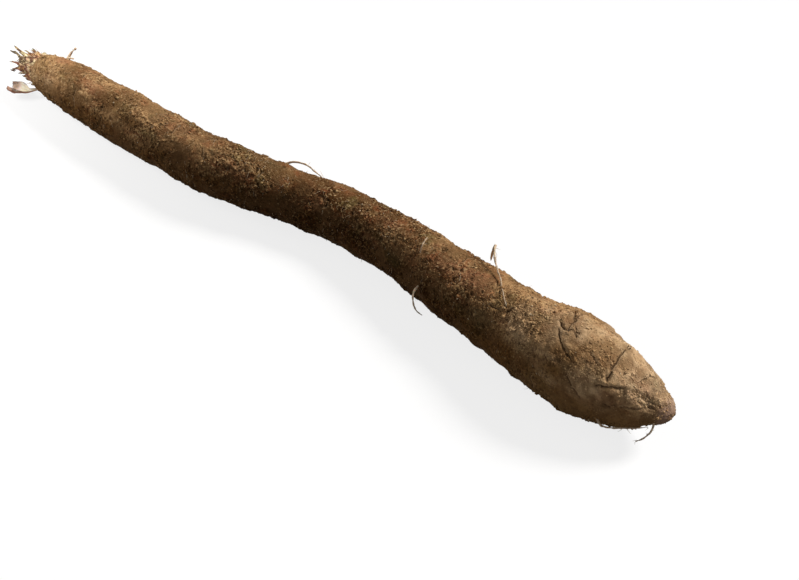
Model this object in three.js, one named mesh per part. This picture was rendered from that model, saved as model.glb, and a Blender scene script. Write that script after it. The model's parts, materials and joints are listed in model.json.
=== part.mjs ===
// A black salsify, lying on a flat surface: the long taproot in its earthy bark, the dry stubs of the leaves
// that were twisted off its crown, and the rootlets that spring from its sides.
// Millimetres. X runs from the crown to the tip, Z is up, and the taproot rests on Z = 0. The origin is under
// the middle of the whole plant.
import * as THREE from "three";

// ---------------------------------------------------------------- driving dimensions

const ROOT_LENGTH = 297; // the taproot, measured along its growth line
const ROOT_SIDES = 24;
const ROOT_RINGS = 88;
const CONTACT_SINK = 0.5; // the underside is pressed flat by this much where it rests
const PIECE_GAP = 0.4; // between the bark and whatever springs from it
const LEAF_SIDES = 10;
const LEAF_RINGS = 12;
const ROOTLET_SIDES = 6;
const ROOTLET_RINGS = 16;

const EARTHY_BARK = { color: 0x7d5f41, roughness: 0.95, metalness: 0 };
const DRY_LEAF = { color: 0xb8935f, roughness: 0.8, metalness: 0 };
const PALE_LEAF = { color: 0xd9c2a4, roughness: 0.75, metalness: 0 };
const ROOTLET_SKIN = { color: 0xa98a66, roughness: 0.85, metalness: 0 };

// The growth line of the taproot. It lies on its neck, its middle and its swollen end.
const GROWTH_LINE = [
  [0, 1.4, 10.8],
  [14, 2.3, 10.0],
  [34, 1.8, 10.0],
  [68, 0.2, 11.0],
  [92, -0.2, 11.6],
  [112, 2.6, 11.2],
  [142, 9.2, 9.9],
  [158, 11.0, 9.7],
  [180, 9.0, 10.9],
  [205, 5.0, 12.1],
  [230, 1.6, 12.8],
  [250, -1.4, 14.1],
  [268, -2.4, 14.3],
  [282, -2.0, 14.3],
  [290, -1.4, 14.0],
  [295, -1.2, 13.2],
];

// The outline of the taproot, [radius, distance from the crown].
const TAPROOT_OUTLINE = [
  [0, 0],
  [4.4, 0.1],
  [6.4, 1.2],
  [7.4, 4],
  [8.8, 13],
  [10.2, 34],
  [10.1, 68],
  [10.4, 100],
  [9.8, 145],
  [10.4, 180],
  [11.5, 210],
  [12.5, 232],
  [13.9, 248],
  [14.5, 260],
  [13.8, 270],
  [12.0, 279],
  [9.2, 286],
  [6.4, 290.5],
  [4.6, 293.5],
  [3.4, 295.4],
  [1.8, 296.7],
  [0, ROOT_LENGTH],
];

// Swellings and hollows of the taproot. at: distance from the crown. turn: degrees round the growth line,
// from +Y (0) over the top (90) to -Y (180). along and round: how far it spreads, in mm and degrees.
const SWELLINGS = [
  { at: 259, turn: 38, along: 10, round: 38, height: 2.0 }, // the shoulder of the swollen end
  { at: 238, turn: 62, along: 12, round: 16, height: -0.9 }, // the furrow that runs up to it
  { at: 224, turn: 35, along: 12, round: 24, height: 0.7 },
  { at: 268, turn: 150, along: 8, round: 28, height: 0.5 },
  { at: 246, turn: -170, along: 8, round: 26, height: -0.6 },
  { at: 206, turn: 170, along: 9, round: 32, height: 0.6 },
  { at: 190, turn: 40, along: 6, round: 40, height: 0.5 },
  { at: 164, turn: -130, along: 9, round: 36, height: 0.7 },
  { at: 150, turn: 50, along: 8, round: 44, height: 0.6 },
  { at: 132, turn: 40, along: 5, round: 40, height: -0.5 },
  { at: 104, turn: 100, along: 8, round: 40, height: 0.5 },
  { at: 92, turn: 40, along: 5, round: 44, height: -0.5 },
  { at: 66, turn: -140, along: 9, round: 40, height: 0.5 },
  { at: 52, turn: 60, along: 7, round: 36, height: 0.5 },
  { at: 22, turn: 45, along: 6, round: 40, height: 0.6 },
];

// Leaf bases. path: [outward, across, up], from just off the middle of the crown. width and thickness: half
// the stub's size at the crown. hollow: how far its edges curl up, as a share of its width. taper: the size
// of its end, as a share of its start. facing: where the hollow side looks, upwards unless it is given.
// finish: a straw-brown one unless it is given.
const LEAF_BASES = [
  { name: "leaf_base_upper", width: 1.1, thickness: 0.7, hollow: 0.2, taper: 0.35,
    path: [[0.5, 2.2, 1.6], [7, 0.8, 2.8], [12.5, 1.5, 2.8], [15.5, 2.6, 2.6]] },
  { name: "leaf_base_inner", width: 0.9, thickness: 0.6, hollow: 0.2, taper: 0.4,
    path: [[0.5, -0.7, 2.2], [7, -0.8, 1.2], [11, 0.0, 1.6], [13.5, 0.5, 2.4]] },
  { name: "leaf_base_middle", width: 1.3, thickness: 0.7, hollow: 0.2, taper: 0.5,
    path: [[0.5, -0.3, -0.6], [4, -0.4, -0.7], [8, -0.3, -0.8], [11.5, 0, -1.2]] },
  { name: "leaf_base_wisp", width: 0.6, thickness: 0.5, hollow: 0, taper: 0.7,
    path: [[0.5, 2.4, -1.1], [8, 1.9, -0.1], [14, 1.6, 0.0], [17.5, 2.1, -0.4]] },
  { name: "leaf_base_lower", width: 1.2, thickness: 0.7, hollow: 0.2, taper: 0.25,
    path: [[0.5, -3.1, 0.6], [5, -3.1, 0.6], [9, -3.0, 0.3], [13, -3.2, -0.8]] },
  { name: "leaf_base_dark", width: 1.1, thickness: 0.7, hollow: 0.2, taper: 0.4,
    path: [[0.5, -2.9, -2.2], [4.5, -3.0, -1.9], [8, -3.0, -2.0], [10.4, -3.4, -3.1], [11.3, -3.9, -4.5]] },
  { name: "leaf_base_back", width: 1.2, thickness: 0.8, hollow: 0.2, taper: 0.5,
    path: [[0.5, 0.9, -3.4], [4, 1.8, -3.4], [7, 3.2, -2.9], [9, 4.4, -2.4]] },
  { name: "leaf_base_top", width: 1.2, thickness: 0.5, hollow: 0.2, taper: 0.5,
    path: [[0.5, 0.6, 4.9], [2, 0.3, 5.2], [3.4, 0.0, 5.2], [4.6, -0.4, 5.0]] },
  { name: "leaf_base_pale", width: 1.0, thickness: 0.4, hollow: 0.5, taper: 2.2,
    facing: [0.35, -0.55, 0.75], finish: PALE_LEAF,
    path: [[-3.4, -6.2, -6.0], [1, -5.8, -5.9], [4, -5.8, -6.1], [7, -6.8, -6.9], [9.4, -8.2, -7.4]] },
];

// Rootlets. path: [distance from the crown, turn, height], of its middle. The height is above the clear gap
// round the bark. thickness: its radius at the bark.
const ROOTLETS = [
  { name: "rootlet_sprout", thickness: 0.5,
    path: [[10, 44, 0.6], [10, 44, 2], [10.6, 45, 3.2], [11.6, 46, 4.6]] },
  { name: "rootlet_short", thickness: 0.35,
    path: [[196, 120, 0.4], [195.4, 108, 0.9], [194.6, 97, 1.1], [193.6, 87, 0.9]] },
  { name: "rootlet_hanging", thickness: 0.4,
    path: [[202, 168, 0.5], [202.4, 170, 2], [203.6, -178, 3.2], [204.4, -164, 3.4], [205.6, -152, 2.8]] },
  { name: "rootlet_long", thickness: 0.5,
    path: [[212, 24, 0.55], [211.5, 36, 4], [213, 46, 6.4], [216, 57, 4.6], [221, 68, 1.6], [227, 84, 0.6],
      [233, 104, 0.5], [238, 117, 0.4]] },
  { name: "rootlet_curl", thickness: 0.4,
    path: [[276, -166, 0.5], [280, -158, 1.2], [285, -155, 0.6], [289, -160, 1.0], [292, -156, 0.6]] },
  { name: "rootlet_arc", thickness: 0.4,
    path: [[293.6, -165, 0.5], [293.4, -150, 2], [291.5, -136, 4], [288.5, -126, 4.6]] },
  { name: "rootlet_neck", thickness: 0.5,
    path: [[42, -22, 0.55], [43, -20, 2.2], [46, -14, 3.2], [50, -8, 3], [54, -6, 1.8]] },
  { name: "rootlet_back", thickness: 0.55,
    path: [[118, -6, 0.6], [119, -2, 3], [123, 6, 4.8], [129, 12, 4.6], [134, 14, 2.6], [139, 16, 0.8]] },
  { name: "rootlet_end", thickness: 0.5,
    path: [[248, -28, 0.55], [249, -26, 2], [253, -18, 3], [258, -12, 2], [262, -12, 0.8]] },
];

const UP = new THREE.Vector3(0, 0, 1);
const ALONG = new THREE.Vector3(1, 0, 0);

const toLine = (points) => new THREE.CatmullRomCurve3(points.map((p) => new THREE.Vector3(...p)));
const growthLine = toLine(GROWTH_LINE);
const taprootOutline = new THREE.SplineCurve(TAPROOT_OUTLINE.map((p) => new THREE.Vector2(...p)));

// ---------------------------------------------------------------- growing a form along a line

// The middle, heading, side and upward directions of the section a share of the way along a line.
function sectionAt(line, share, hint) {
  const middle = line.getPointAt(share);
  const heading = line.getTangentAt(share);
  const side = new THREE.Vector3().crossVectors(hint, heading).normalize();
  const upward = new THREE.Vector3().crossVectors(heading, side);
  return { middle, heading, side, upward };
}

// A turned form, bent along a line. The profile's heights are shares of the line, and
// sectionShape(turn, radius, share) gives a point of the section as [sideways, upward].
function grow(line, profile, sides, hint, sectionShape) {
  const form = new THREE.LatheGeometry(profile, sides);
  const places = form.getAttribute("position");
  const sections = profile.map((p) => sectionAt(line, p.y, hint));
  for (let i = 0; i < places.count; i++) {
    const ring = i % profile.length;
    const turn = (2 * Math.PI * (Math.floor(i / profile.length) % sides)) / sides;
    const { middle, side, upward } = sections[ring];
    const [sideways, over] = sectionShape(turn, profile[ring].x, profile[ring].y);
    const place = middle.clone().addScaledVector(side, sideways).addScaledVector(upward, over);
    places.setXYZ(i, place.x, place.y, place.z);
  }
  form.computeVertexNormals();
  return form;
}

// A profile that starts and ends on the line: a round start, a straight taper and a round tip.
function taperedProfile(radius, tipShare, rings) {
  const profile = [new THREE.Vector2(0, 0)];
  for (let ring = 1; ring < rings; ring++) {
    const share = ring / rings;
    const roundStart = Math.min(1, 0.75 + ring * 0.25);
    profile.push(new THREE.Vector2(radius * roundStart * (1 - (1 - tipShare) * share), share));
  }
  profile.push(new THREE.Vector2(0, 1));
  return profile;
}

function piece(name, form, finish) {
  const mesh = new THREE.Mesh(form, new THREE.MeshStandardMaterial(finish));
  mesh.name = name;
  return mesh;
}

// ---------------------------------------------------------------- the taproot

// How far the swellings lift the bark.
function swellingAt(distance, turnDegrees) {
  return SWELLINGS.reduce((sum, s) => {
    const away = THREE.MathUtils.euclideanModulo(turnDegrees - s.turn + 180, 360) - 180;
    return sum + s.height * Math.exp(-(((distance - s.at) / s.along) ** 2) - (away / s.round) ** 2);
  }, 0);
}

// The bark pressed flat where it would pass through the surface below.
const settle = (place) => place.setZ(Math.max(place.z - CONTACT_SINK, 0));

function taproot() {
  const outline = taprootOutline.getSpacedPoints(ROOT_RINGS);
  const profile = outline.map((p) => new THREE.Vector2(p.x, p.y / ROOT_LENGTH));
  const form = grow(growthLine, profile, ROOT_SIDES, UP, (turn, radius, share) => {
    const swelling = swellingAt(share * ROOT_LENGTH, THREE.MathUtils.radToDeg(turn));
    const reach = radius + swelling * Math.min(1, radius / 6);
    return [reach * Math.cos(turn), reach * Math.sin(turn)];
  });
  const places = form.getAttribute("position");
  for (let i = 0; i < places.count; i++) {
    const place = settle(new THREE.Vector3().fromBufferAttribute(places, i));
    places.setXYZ(i, place.x, place.y, place.z);
  }
  form.computeVertexNormals();
  return piece("taproot", form, EARTHY_BARK);
}

// ---------------------------------------------------------------- leaf bases

// A point near the crown, [outward, across, up] from its middle.
function crownPoint([outward, across, up]) {
  const { middle, heading, side, upward } = sectionAt(growthLine, 0, UP);
  const place = middle.addScaledVector(heading, -outward - PIECE_GAP);
  return place.addScaledVector(side, across).addScaledVector(upward, up - CONTACT_SINK);
}

// A stub of leaf, hollowed like a gutter.
function leafBase({ name, path, width, thickness, hollow, taper, facing = [0, 0, 1], finish = DRY_LEAF }) {
  const line = new THREE.CatmullRomCurve3(path.map(crownPoint));
  const profile = taperedProfile(width, taper, LEAF_RINGS);
  const flatness = thickness / width;
  const form = grow(line, profile, LEAF_SIDES, new THREE.Vector3(...facing), (turn, radius) => {
    const curl = hollow * (Math.cos(turn) ** 2 - 0.5);
    return [radius * Math.cos(turn), radius * (flatness * Math.sin(turn) + curl)];
  });
  return piece(name, form, finish);
}

// ---------------------------------------------------------------- rootlets

// The distance from the growth line to the bark.
function barkRadius(distance, turnDegrees) {
  const after = TAPROOT_OUTLINE.findIndex((p) => p[1] > distance);
  const [before, next] = [TAPROOT_OUTLINE[after - 1], TAPROOT_OUTLINE[after]];
  const share = (distance - before[1]) / (next[1] - before[1]);
  return THREE.MathUtils.lerp(before[0], next[0], share) + swellingAt(distance, turnDegrees);
}

function barkPoint([distance, turnDegrees, height]) {
  const { middle, side, upward } = sectionAt(growthLine, distance / ROOT_LENGTH, UP);
  const reach = barkRadius(distance, turnDegrees) + PIECE_GAP + height;
  const turn = THREE.MathUtils.degToRad(turnDegrees);
  const place = middle.addScaledVector(side, reach * Math.cos(turn));
  return settle(place.addScaledVector(upward, reach * Math.sin(turn)));
}

function rootlet({ name, path, thickness }) {
  const line = new THREE.CatmullRomCurve3(path.map(barkPoint));
  const profile = taperedProfile(thickness, 0.35, ROOTLET_RINGS);
  const form = grow(line, profile, ROOTLET_SIDES, ALONG, (turn, radius) => [
    radius * Math.cos(turn),
    radius * Math.sin(turn),
  ]);
  return piece(name, form, ROOTLET_SKIN);
}

// ---------------------------------------------------------------- the whole plant

const salsify = new THREE.Group();
salsify.add(taproot(), ...LEAF_BASES.map(leafBase), ...ROOTLETS.map(rootlet));

const extent = new THREE.Box3().setFromObject(salsify);
const middle = extent.getCenter(new THREE.Vector3());
salsify.position.set(-middle.x, -middle.y, -extent.min.z);

export default salsify;
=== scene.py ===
"""A black salsify: a long taproot in dusty, cork-like bark, with dry leaf bases at the crown and rootlets."""

import json
import random
from math import acos, atan2, cos, degrees, exp, pi, radians, sin, sqrt

import bmesh
import bpy
import numpy as np
from mathutils import Matrix, Vector, noise
from mathutils.bvhtree import BVHTree

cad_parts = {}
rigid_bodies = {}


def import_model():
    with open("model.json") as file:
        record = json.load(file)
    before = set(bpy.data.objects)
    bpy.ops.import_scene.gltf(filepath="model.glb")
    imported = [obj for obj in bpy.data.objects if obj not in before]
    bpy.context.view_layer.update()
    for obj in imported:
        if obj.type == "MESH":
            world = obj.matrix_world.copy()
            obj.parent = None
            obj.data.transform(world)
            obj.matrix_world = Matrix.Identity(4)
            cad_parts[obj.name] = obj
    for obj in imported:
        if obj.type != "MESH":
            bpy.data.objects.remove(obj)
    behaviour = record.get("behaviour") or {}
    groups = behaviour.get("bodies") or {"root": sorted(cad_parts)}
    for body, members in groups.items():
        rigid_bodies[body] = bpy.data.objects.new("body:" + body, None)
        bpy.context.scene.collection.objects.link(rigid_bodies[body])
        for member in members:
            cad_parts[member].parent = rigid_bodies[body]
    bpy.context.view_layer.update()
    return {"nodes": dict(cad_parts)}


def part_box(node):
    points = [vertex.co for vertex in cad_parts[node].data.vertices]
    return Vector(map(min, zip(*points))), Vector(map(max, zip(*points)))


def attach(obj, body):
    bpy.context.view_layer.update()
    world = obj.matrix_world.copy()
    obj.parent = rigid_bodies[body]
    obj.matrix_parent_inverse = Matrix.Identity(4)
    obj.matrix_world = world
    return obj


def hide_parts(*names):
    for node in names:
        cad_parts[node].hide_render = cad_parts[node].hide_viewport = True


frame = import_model()

MM = 0.001
UP = Vector((0, 0, 1))
CROWNWARD = Vector((-1, 0, 0))

# ---- sizes and counts

BARK_ROWS = 500  # rings of the bark's surface, from the crown to the tip
BARK_COLUMNS = 188  # points round each ring
CROWN_ROWS = 24  # rings that close the crown
TIP_ROWS = 16  # rings that close the tip
END_REACH = 6.0 * MM  # the stretch at either end that the closing rings fan out from
DENSER_TIP = 0.2  # how much closer together the rings are near the tip

CHANCE_CRACKS = 84
CHANCE_PITS = 90
EARTH_CRUMBS = 7800  # in each of the pieces of earth
CRUMB_SIZES = [(0.13, 0.27), (0.13, 0.29), (0.14, 0.34), (0.17, 0.55)]  # least and greatest radius in mm
SAND_GRAINS = 260
STANDING_HAIRS = 420
CLINGING_HAIRS = 480
CROWN_FIBRES = 110
RIM_SCALES = 28
NECK_SCALES = 20
HEART_SCALES = 24
SPIRAL = 137.5  # degrees round the crown from one scale to the next, as leaves grow

# Cracks and folds: (depth in mm, [(distance from the crown in mm, turn in degrees), ...]).
# A turn goes from +Y, at 0, over the top, at 90.
CRACKS = [
    (0.8, [(254.8, 64), (257, 76), (258.8, 90), (259.4, 102)]),
    (0.7, [(259.5, 102), (258.4, 104), (256.8, 101), (255, 95), (253.6, 88)]),
    (0.5, [(259.5, 101), (262.3, 97)]),
    (0.5, [(260.6, 92), (261.4, 98), (262.8, 104)]),
    (0.55, [(257, 106), (258.2, 113), (261, 122), (263.5, 128), (265.4, 131)]),
    (0.45, [(268.6, 112), (270.4, 116), (272.2, 120)]),
    (0.45, [(252, 60), (255, 58), (257.5, 52)]),
    (0.85, [(273.6, 58), (274.8, 66), (275.4, 78), (275.9, 92), (276.6, 110), (277, 122), (277.2, 130)]),
    (0.5, [(275.6, 143), (278.6, 137), (282.6, 128)]),
    (0.35, [(285.2, 104), (286, 86), (286.9, 62)]),
    (0.2, [(283.5, 160), (288, 150), (290.5, 138)]),
    (0.3, [(266.5, 148), (269, 160), (272.5, 168)]),
    (0.45, [(262, 30), (266.5, 24), (270, 12)]),
    (0.45, [(231.5, 125), (234.5, 124), (237, 118), (238.8, 111)]),
    (0.4, [(209.4, 58), (209.9, 80), (210.8, 98)]),
    (0.4, [(132.2, 24), (132.8, 48), (132.4, 70)]),
    (0.4, [(91.6, 30), (92, 50), (91.4, 76)]),
]

# Pits left by lost rootlets: (distance in mm, turn in degrees, radius in mm, depth in mm).
PITS = [
    (254.6, 66, 1.1, 1.0), (201, 88, 1.1, 1.0), (237.6, 117, 0.8, 0.6), (213, 104, 0.7, 0.6),
    (218.5, 74, 0.6, 0.5), (247, 128, 0.8, 0.5), (262.5, 140, 0.8, 0.5), (289.6, 66, 2.6, 0.65),
    (289.2, 92, 1.8, 0.35), (291, 133, 1.9, 0.5), (289, 121, 1.3, 0.5), (150, 128, 0.7, 0.5),
    (108, 84, 0.6, 0.5), (62, 112, 0.6, 0.5), (37, 70, 0.6, 0.4),
]

# Patches of the bark: (distance, turn, reach along it in mm, reach round it in degrees).
# Smooth ones show less earth, rough ones are pitted, and the last ones hold painted shade: darker earth,
# mostly on the flank towards -Y.
SMOOTH_PATCHES = [
    (264, 92, 13, 46), (282, 80, 11, 60), (276, 66, 9, 34), (275, 168, 12, 34), (232, 70, 14, 22),
    (205, 78, 10, 24), (150, 62, 12, 26), (128, 96, 8, 22), (96, 118, 9, 26), (60, 60, 9, 26),
    (14, 64, 8, 34),
]
ROUGH_PATCHES = [
    (257, 152, 8, 18), (247, 138, 6, 16), (238, 124, 6, 14), (230, 150, 8, 22), (218, 132, 8, 18),
    (290, 128, 4, 16), (281, 152, 5, 18), (182, 128, 10, 22), (168, 150, 8, 22), (110, 118, 9, 24),
    (74, 128, 9, 24), (28, 122, 8, 26),
]
# Painted shade: patches where the earth is drawn darker, standing for shadow on the flank.
PAINTED_SHADE_PATCHES = [
    (252, 188, 14, 32), (262, 150, 8, 14), (264, 131, 13, 16), (240, 182, 20, 34), (216, 176, 22, 36),
    (209, 128, 7, 12), (186, 174, 22, 36), (160, 172, 20, 40), (142, 118, 8, 26), (136, 168, 18, 40),
    (112, 172, 18, 36), (86, 170, 14, 40), (62, 132, 9, 14), (48, 119, 9, 22), (40, 176, 20, 34),
]

# Redder (above 0) and greener (below 0) patches: as above, with the hue last.
HUE_PATCHES = [
    (12, 76, 6, 26, 1.0), (5, 78, 4, 60, -0.9), (38, 112, 12, 30, 0.8), (30, 160, 10, 30, -0.6),
    (62, 140, 12, 30, -0.5), (84, 96, 9, 26, 0.8), (112, 130, 10, 28, 0.7), (122, 84, 9, 26, -0.8),
    (146, 130, 9, 30, 0.8), (158, 96, 7, 24, -0.6), (178, 100, 10, 26, 0.7), (186, 156, 9, 24, -0.9),
    (206, 112, 8, 24, 0.8), (221, 104, 8, 30, 1.0), (229, 150, 8, 24, -1.0), (247, 150, 8, 24, -0.4),
    (252, 84, 7, 22, 0.5), (280, 152, 6, 24, 0.8), (287, 104, 4, 22, 0.8), (288.5, 76, 2.5, 16, -1.0),
]

# How pale the earth is along the root, partly paler earth towards the ends and partly painted shade in the
# darker middle: (share of the length from the crown, paleness).
PALENESS_AND_SHADE = [
    (0, 0.85), (0.08, 0.46), (0.2, 0.46), (0.33, 0.32), (0.4, 0.12), (0.5, 0.0), (0.62, 0.1), (0.74, 0.34),
    (0.83, 0.8), (0.92, 1.0), (1, 1.0),
]

# ---- camera, floor and light


def put(name, data):
    """Puts data into the scene as an object."""
    placed = bpy.data.objects.new(name, data)
    bpy.context.collection.objects.link(placed)
    return placed


def mesh_of(bm, name):
    """Turns a bmesh into a mesh."""
    mesh = bpy.data.meshes.new(name)
    bm.to_mesh(mesh)
    bm.free()
    return mesh


def put_in_order(bm):
    """Sorts faces by their corners. A new sphere or a solidify gives them another order in each run."""
    bm.verts.index_update()
    weights = (len(bm.verts) ** 2, len(bm.verts), 1)
    bm.faces.sort(key=lambda face: np.dot(sorted(vert.index for vert in face.verts)[:3], weights))


def place_camera(azimuth, elevation, distance, aim, lens):
    """Azimuth 0 looks along +Y; elevation is above the horizon."""
    a, e = radians(azimuth), radians(elevation)
    away = Vector((sin(a) * cos(e), -cos(a) * cos(e), sin(e)))
    camera = put("camera", bpy.data.cameras.new("camera"))
    camera.data.lens = lens
    camera.data.clip_start = 0.01
    camera.location = aim + away * distance
    camera.rotation_euler = away.to_track_quat("Z", "Y").to_euler()
    bpy.context.scene.camera = camera


class Nodes:
    """Short calls that add shader nodes to a tree."""

    def __init__(self, tree):
        self.tree = tree

    def add(self, kind, settings=(), **inputs):
        made = self.tree.nodes.new("ShaderNode" + kind)
        for name, value in dict(settings).items():
            setattr(made, name, value)
        for name, value in inputs.items():
            self.feed(made.inputs[name], value)
        return made

    def feed(self, socket, value):
        """Links a socket, or sets a number, a vector or a colour of red, green and blue."""
        if isinstance(value, bpy.types.NodeSocket):
            self.tree.links.new(value, socket)
        else:
            socket.default_value = (*value, 1.0) if socket.type == "RGBA" else value

    def noise(self, place, size, detail=3.0, distortion=0.0):
        values = {"Scale": 1 / size, "Detail": detail, "Distortion": distortion}
        return self.add("TexNoise", Vector=place, **values).outputs["Fac"]

    def stretch(self, place, x, y=1, z=1):
        return self.add("Mapping", Vector=place, Scale=(x, y, z)).outputs["Vector"]

    def step(self, value, low, high, start=0.0, end=1.0):
        """A smooth step from start to end as value goes from low to high."""
        made = self.add("MapRange", {"interpolation_type": "SMOOTHSTEP"}, Value=value)
        for name, number in (("From Min", low), ("From Max", high), ("To Min", start), ("To Max", end)):
            self.feed(made.inputs[name], number)
        return made.outputs["Result"]

    def maths(self, operation, first, second=0.5):
        made = self.add("Math", {"operation": operation})
        self.feed(made.inputs[0], first)
        self.feed(made.inputs[1], second)
        return made.outputs[0]

    def times(self, first, second):
        return self.maths("MULTIPLY", first, second)

    def mix(self, share, first, second, blend="MIX"):
        made = self.add("Mix", {"data_type": "RGBA", "blend_type": blend})
        self.feed(made.inputs[0], share)
        self.feed(made.inputs[6], first)
        self.feed(made.inputs[7], second)
        return made.outputs[2]

    def coat(self, skin, *coats):
        """Lays coats over a skin. Each comes in, up to its strength, as value goes from low to high."""
        for value, low, high, strength, colour in coats:
            skin = self.mix(self.step(value, low, high, 0, strength), skin, colour)
        return skin

    def mask(self, name):
        return self.add("Attribute", {"attribute_name": name}).outputs["Fac"]

    def seen(self):
        """1 for what the camera sees, straight or mirrored, else 0."""
        rays = self.add("LightPath").outputs
        return self.maths("MAXIMUM", rays["Is Camera Ray"], rays["Is Glossy Ray"])


class Finish(Nodes):
    """A material of one Principled shader."""

    def __init__(self, name):
        self.material = bpy.data.materials.new(name)
        self.material.use_nodes = True
        super().__init__(self.material.node_tree)
        self.shader = self.tree.nodes["Principled BSDF"]
        self.place = self.add("TexCoord").outputs["Object"]

    def group(self, tree, **inputs):
        return self.add("Group", {"node_tree": tree}, **inputs).outputs

    def set(self, values):
        """Feeds the shader's sockets, by their labels."""
        for label, value in values.items():
            self.feed(self.shader.inputs[label], value)

    def surface(self, color, roughness, height, bump, depth, gloss=0.15):
        """Colour, roughness and a bump of the given strength and depth."""
        relief = self.add("Bump", Height=height, Strength=bump, Distance=depth).outputs["Normal"]
        self.set({"Base Color": color, "Roughness": roughness, "Specular IOR Level": gloss, "Normal": relief})
        return self.material

    def let_light_in(self, reach, scale):
        """Lets some light into the skin. reach: how far red, green and blue go, in scales."""
        self.set({"Subsurface Weight": 0.3, "Subsurface Radius": reach, "Subsurface Scale": scale})


def floor_finish():
    """It looks white, keeps the shadow and throws little light back up at the root."""
    finish = Finish("pale_floor")
    finish.set({"Base Color": (0.21, 0.205, 0.2), "Roughness": 0.9, "Specular IOR Level": 0.0})
    glow = finish.add("Emission", Color=(1, 1, 1), Strength=finish.times(finish.seen(), 0.8))
    both = finish.add("AddShader")
    finish.feed(both.inputs[0], finish.shader.outputs[0])
    finish.feed(both.inputs[1], glow.outputs[0])
    finish.feed(finish.tree.nodes["Material Output"].inputs["Surface"], both.outputs[0])
    return finish.material


def lay_floor():
    bm = bmesh.new()
    just_below = Matrix.Translation((0, 0, -0.02 * MM))
    bmesh.ops.create_grid(bm, x_segments=1, y_segments=1, size=4.0, matrix=just_below)
    floor = put("floor", mesh_of(bm, "floor"))
    floor.data.materials.append(floor_finish())


def hang_lamp(name, kind, target, offset, **settings):
    """A lamp turned to its target. A sun with an energy of pi lights a colour as written."""
    data = bpy.data.lights.new(name, kind)
    for label, value in settings.items():
        setattr(data, label, value)
    lamp = put(name, data)
    lamp.location = target + Vector(offset)
    lamp.rotation_euler = (lamp.location - target).to_track_quat("Z", "Y").to_euler()
    lamp.visible_camera = kind == "SUN"


def light_studio():
    """A soft key from behind and above, a fill, faint lights on the two ends, and a pale surround."""
    crown_corner, tip_corner = (Vector(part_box(name)[0]) for name in ("leaf_base_pale", "rootlet_arc"))
    hang_lamp("key", "SUN", Vector(), (0.42, 0.82, 0.84), energy=3.9, angle=radians(18))
    hang_lamp("fill", "SUN", Vector(), (-1.3, -0.1, 0.5), energy=0.4, angle=radians(40))
    hang_lamp("crown_fill", "AREA", crown_corner, (-0.03, -0.045, 0.075), energy=0.085, size=0.05)
    hang_lamp("tip_fill", "AREA", tip_corner, (0.045, -0.08, 0.09), energy=0.016, size=0.08)
    world = bpy.data.worlds.new("surround")
    world.use_nodes = True
    bpy.context.scene.world = world
    nodes = Nodes(world.node_tree)
    background = world.node_tree.nodes["Background"].inputs
    nodes.feed(background["Color"], (1, 1, 1))
    nodes.feed(background["Strength"], nodes.maths("MAXIMUM", nodes.seen(), 0.115))


bpy.context.scene.view_settings.view_transform = "Standard"
place_camera(azimuth=39.8, elevation=42, distance=0.5307, aim=Vector((0.0465, -0.0010, 0)), lens=70)
lay_floor()
light_studio()

# ---- the frame, as shapes to work on


def settle(holder):
    """Gives the mesh that an object's modifiers or bevel make, and removes the object."""
    bpy.context.view_layer.update()
    mesh = bpy.data.meshes.new_from_object(holder.evaluated_get(bpy.context.evaluated_depsgraph_get()))
    bpy.data.batch_remove([holder, holder.data])
    return mesh


def node_copy(name):
    """A copy of a solid of the frame, smoothed by subdivision."""
    bm = bmesh.new()
    bm.from_mesh(frame["nodes"][name].data)
    bmesh.ops.remove_doubles(bm, verts=bm.verts, dist=0.01 * MM)
    holder = put("smooth", mesh_of(bm, "smooth"))
    divide = holder.modifiers.new("divide", "SUBSURF")
    divide.levels = 2
    divide.render_levels = 2
    return with_mesh(bmesh.new(), settle(holder))


def with_mesh(bm, mesh):
    """Adds a mesh to a bmesh."""
    bm.from_mesh(mesh)
    bpy.data.meshes.remove(mesh)
    return bm


def points_of(bm):
    return np.array([vert.co for vert in bm.verts])


def move_points(bm, places):
    for vert, place in zip(bm.verts, places):
        vert.co = place


class GrowthLine:
    """The middle of a root or leaf: distances along it in metres, turns in degrees from +Y over the top."""

    def __init__(self, points, step=1.5 * MM, reach=3.5 * MM):
        along = np.arange(points[:, 0].min(), points[:, 0].max() + step, step)
        weights = np.exp(-(((points[:, 0][None] - along[:, None]) / reach) ** 2))
        self.middles = weights @ points / weights.sum(1, keepdims=True)
        self.middles[:, 0] = along
        steps = np.linalg.norm(np.diff(self.middles, axis=0), axis=1)
        self.distances = np.concatenate([[0], np.cumsum(steps)])
        self.length = self.distances[-1]

    def middle(self, distance):
        return Vector([np.interp(distance, self.distances, column) for column in self.middles.T])

    def section(self, distance):
        """The middle, heading, side and upward direction at a distance."""
        distance = min(max(distance, MM), self.length - MM)
        heading = (self.middle(distance + 2 * MM) - self.middle(distance - 2 * MM)).normalized()
        side = UP.cross(heading).normalized()
        return self.middle(distance), heading, side, heading.cross(side)

    def outward(self, section, turn):
        angle = radians(turn)
        return section[2] * cos(angle) + section[3] * sin(angle)


taproot_smooth = node_copy("taproot")
growth = GrowthLine(points_of(taproot_smooth))
taproot_tree = BVHTree.FromBMesh(taproot_smooth)
crown_middle = growth.middle(0)

# ---- small helpers for pieces


def smooth_step(value, low, high):
    share = np.clip((value - low) / (high - low), 0, 1)
    return share * share * (3 - 2 * share)


def bumps(place, x=0, y=0, z=0):
    """Smooth noise at a place. A shift gives another pattern."""
    return noise.noise(place + Vector((x, y, z)))


def values_of(items, label, width=1, kind=float):
    """What the parts of a mesh hold under a label, as rows of a width."""
    values = np.empty(len(items) * width, dtype=kind)
    items.foreach_get(label, values)
    return values.reshape(-1, width) if width > 1 else values


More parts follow.
